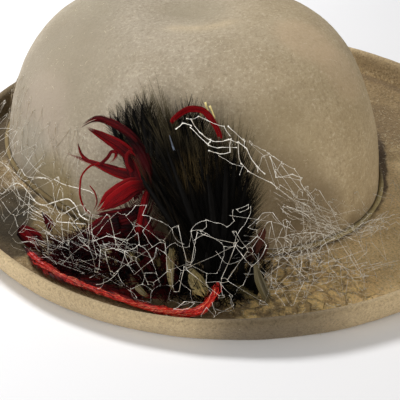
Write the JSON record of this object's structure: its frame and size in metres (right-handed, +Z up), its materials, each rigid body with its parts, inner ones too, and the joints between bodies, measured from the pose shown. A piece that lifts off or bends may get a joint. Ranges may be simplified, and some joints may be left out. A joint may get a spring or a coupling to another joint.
{
  "type": "tilt hat",
  "caption": "Felt tilt hat: dented dome crown, brim with turned-up rim, and on one side a gathered net veil, a black plume and curled red and golden feathers.",
  "frame": {"origin": "centre of the brim's outline on the surface that the hat rests on", "axes": "+Z up through the crown, -Y towards the front of the hat, -X towards the wearer's right, where the trim is"},
  "size_m": [0.2858, 0.2738, 0.0908],
  "materials": {
    "crown_felt": "brushed wool felt, taupe",
    "brim_felt": "worn wool felt, tan",
    "welt_felt": "rolled wool felt, pale tan",
    "black_feather": "glossy black hackle",
    "red_feather": "dyed burgundy quill",
    "golden_feather": "olive gold hackle",
    "scarlet_feather": "dyed scarlet, ribbed",
    "veil_thread": "off-white thread net"
  },
  "bodies": {
    "root": {"crown": "crown_felt", "brim": "brim_felt", "felt_welt": "welt_felt", "black_plume": "black_feather", "red_biots": "red_feather", "red_curl": "red_feather", "golden_hackles": "golden_feather", "red_quill": "scarlet_feather", "veil": "veil_thread"}
  },
  "joints": []
}
